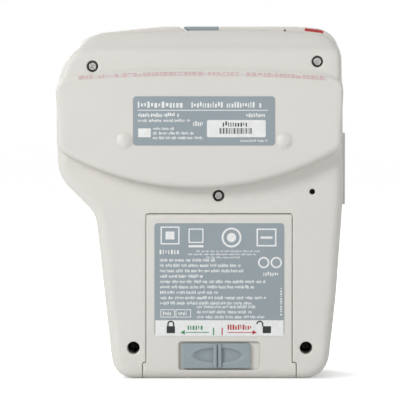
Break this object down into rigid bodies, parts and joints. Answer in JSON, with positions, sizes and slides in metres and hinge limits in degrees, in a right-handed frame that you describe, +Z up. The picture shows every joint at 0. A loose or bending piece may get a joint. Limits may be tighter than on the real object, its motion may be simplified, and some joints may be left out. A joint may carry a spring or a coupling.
{
  "type": "infusion_pump",
  "caption": "Portable infusion pump with a raised rear hood, battery door with sliding latch, keypad front and a hinged pump door over its finger drive",
  "frame": {"origin": "middle of the overall width and depth, on the resting base plane", "axes": "+X across the pump, to the right when its keys face you; +Y from the keypad side to the back; +Z up"},
  "size_m": [0.1017, 0.0584, 0.1245],
  "materials": {
    "case_plastic": "warm light grey moulded plastic, fine spark texture",
    "latch_plastic": "blue-grey moulded plastic, fine texture",
    "dark_plastic": "black or charcoal moulded plastic",
    "frame_plastic": "charcoal glass-filled moulded frame",
    "natural_plastic": "natural low-friction acetal",
    "gear_plastic": "natural gear-grade nylon",
    "label_film": "printed satin label film",
    "clear_film": "clear film strip with a fine pink print",
    "red_film": "red printed film",
    "window": "hard-coated clear acrylic with a dark border",
    "steel": "plain stainless steel",
    "nickel": "nickel-plated spring steel",
    "motor_can": "zinc-plated motor can",
    "gasket_rubber": "soft black seal",
    "board": "green solder mask",
    "cell_wrap": "printed cell sleeve, plain black and copper",
    "light_lens": "diffusing lens, lit faintly",
    "key_rubber": "soft grey silicone key",
    "run_key": "soft green silicone key",
    "stop_key": "soft red silicone key"
  },
  "bodies": {
    "case": {"rear_case": "case_plastic", "front_case": "case_plastic", "case_gasket": "gasket_rubber", "battery_tray": "dark_plastic", "battery_cell_a": "cell_wrap", "battery_cell_b": "cell_wrap", "battery_contacts": "nickel", "encoder_sensor": "dark_plastic", "rating_label": "label_film", "seal_tape": "clear_film", "case_screws": "steel", "battery_door_pin": "steel", "door_hinge_pin": "steel", "chassis": "frame_plastic", "finger_guide": "natural_plastic", "cam_bearings": "steel", "pump_motor": "motor_can", "inlet_sensor": "steel", "outlet_sensor": "steel", "air_detector": "dark_plastic", "chassis_screws": "steel", "main_board": "board", "display_module": "dark_plastic", "display_window": "window", "status_lights": "light_lens", "buzzer": "dark_plastic", "port_panel": "case_plastic", "dose_jack": "dark_plastic", "power_jack": "dark_plastic", "data_port": "steel"},
    "battery_door_body": {"battery_door": "case_plastic", "battery_label": "label_film"},
    "battery_latch_body": {"battery_latch": "latch_plastic"},
    "pump_door_body": {"pump_door": "case_plastic", "platen": "steel", "latch_pin": "steel", "flow_mark": "red_film"},
    "door_latch_body": {"door_latch": "latch_plastic"},
    "cam_body": {"camshaft": "natural_plastic", "cam_gear": "gear_plastic", "encoder_disc": "dark_plastic"},
    "rotor_body": {"motor_pinion": "steel"},
    "finger_1_body": {"finger_1": "natural_plastic"},
    "finger_2_body": {"finger_2": "natural_plastic"},
    "finger_3_body": {"finger_3": "natural_plastic"},
    "finger_4_body": {"finger_4": "natural_plastic"},
    "finger_5_body": {"finger_5": "natural_plastic"},
    "finger_6_body": {"finger_6": "natural_plastic"},
    "key_1_body": {"key_1": "key_rubber"},
    "key_2_body": {"key_2": "key_rubber"},
    "key_3_body": {"key_3": "key_rubber"},
    "key_4_body": {"key_4": "run_key"},
    "key_5_body": {"key_5": "key_rubber"},
    "key_6_body": {"key_6": "key_rubber"},
    "key_7_body": {"key_7": "key_rubber"},
    "key_8_body": {"key_8": "stop_key"},
    "key_9_body": {"key_9": "key_rubber"},
    "key_10_body": {"key_10": "key_rubber"},
    "key_11_body": {"key_11": "key_rubber"},
    "key_12_body": {"key_12": "key_rubber"}
  },
  "joints": [
    {"name": "battery_door_hinge", "type": "hinge", "parent": "case", "child": "battery_door_body", "pos_m": [-0.0062, 0.0202, 0.0569], "axis": [1, 0, 0], "range_deg": [0, 85]},
    {"name": "battery_latch_slide", "type": "slide", "parent": "battery_door_body", "child": "battery_latch_body", "axis": [-1, 0, 0], "range_m": [0, 0.003]},
    {"name": "pump_door_hinge", "type": "hinge", "parent": "case", "child": "pump_door_body", "pos_m": [0.0471, -0.014, 0.1], "axis": [0, 0, 1], "range_deg": [0, 95]},
    {"name": "door_latch_hinge", "type": "hinge", "parent": "pump_door_body", "child": "door_latch_body", "pos_m": [-0.0009, -0.0225, 0.1196], "axis": [1, 0, 0], "range_deg": [0, 60]},
    {"name": "camshaft_spin", "type": "hinge", "parent": "case", "child": "cam_body", "pos_m": [0, -0.0025, 0.104], "axis": [1, 0, 0], "continuous": true},
    {"name": "motor_spin", "type": "hinge", "parent": "case", "child": "rotor_body", "pos_m": [0, 0.0135, 0.104], "axis": [1, 0, 0], "continuous": true},
    {"name": "finger_1_slide", "type": "slide", "parent": "case", "child": "finger_1_body", "axis": [0, -1, 0], "range_m": [0, 0.0012]},
    {"name": "finger_2_slide", "type": "slide", "parent": "case", "child": "finger_2_body", "axis": [0, -1, 0], "range_m": [0, 0.0012]},
    {"name": "finger_3_slide", "type": "slide", "parent": "case", "child": "finger_3_body", "axis": [0, -1, 0], "range_m": [0, 0.0012]},
    {"name": "finger_4_slide", "type": "slide", "parent": "case", "child": "finger_4_body", "axis": [0, -1, 0], "range_m": [0, 0.0012]},
    {"name": "finger_5_slide", "type": "slide", "parent": "case", "child": "finger_5_body", "axis": [0, -1, 0], "range_m": [0, 0.0012]},
    {"name": "finger_6_slide", "type": "slide", "parent": "case", "child": "finger_6_body", "axis": [0, -1, 0], "range_m": [0, 0.0012]},
    {"name": "key_1_press", "type": "slide", "parent": "case", "child": "key_1_body", "axis": [0, 1, 0], "range_m": [0, 0.0006], "stiffness_N_per_m": 500},
    {"name": "key_2_press", "type": "slide", "parent": "case", "child": "key_2_body", "axis": [0, 1, 0], "range_m": [0, 0.0006], "stiffness_N_per_m": 500},
    {"name": "key_3_press", "type": "slide", "parent": "case", "child": "key_3_body", "axis": [0, 1, 0], "range_m": [0, 0.0006], "stiffness_N_per_m": 500},
    {"name": "key_4_press", "type": "slide", "parent": "case", "child": "key_4_body", "axis": [0, 1, 0], "range_m": [0, 0.0006], "stiffness_N_per_m": 500},
    {"name": "key_5_press", "type": "slide", "parent": "case", "child": "key_5_body", "axis": [0, 1, 0], "range_m": [0, 0.0006], "stiffness_N_per_m": 500},
    {"name": "key_6_press", "type": "slide", "parent": "case", "child": "key_6_body", "axis": [0, 1, 0], "range_m": [0, 0.0006], "stiffness_N_per_m": 500},
    {"name": "key_7_press", "type": "slide", "parent": "case", "child": "key_7_body", "axis": [0, 1, 0], "range_m": [0, 0.0006], "stiffness_N_per_m": 500},
    {"name": "key_8_press", "type": "slide", "parent": "case", "child": "key_8_body", "axis": [0, 1, 0], "range_m": [0, 0.0006], "stiffness_N_per_m": 500},
    {"name": "key_9_press", "type": "slide", "parent": "case", "child": "key_9_body", "axis": [0, 1, 0], "range_m": [0, 0.0006], "stiffness_N_per_m": 500},
    {"name": "key_10_press", "type": "slide", "parent": "case", "child": "key_10_body", "axis": [0, 1, 0], "range_m": [0, 0.0006], "stiffness_N_per_m": 500},
    {"name": "key_11_press", "type": "slide", "parent": "case", "child": "key_11_body", "axis": [0, 1, 0], "range_m": [0, 0.0006], "stiffness_N_per_m": 500},
    {"name": "key_12_press", "type": "slide", "parent": "case", "child": "key_12_body", "axis": [0, 1, 0], "range_m": [0, 0.0006], "stiffness_N_per_m": 500}
  ],
  "couplings": [
    {"joint": "motor_spin", "follows": "camshaft_spin", "ratio": -2.5556}
  ]
}
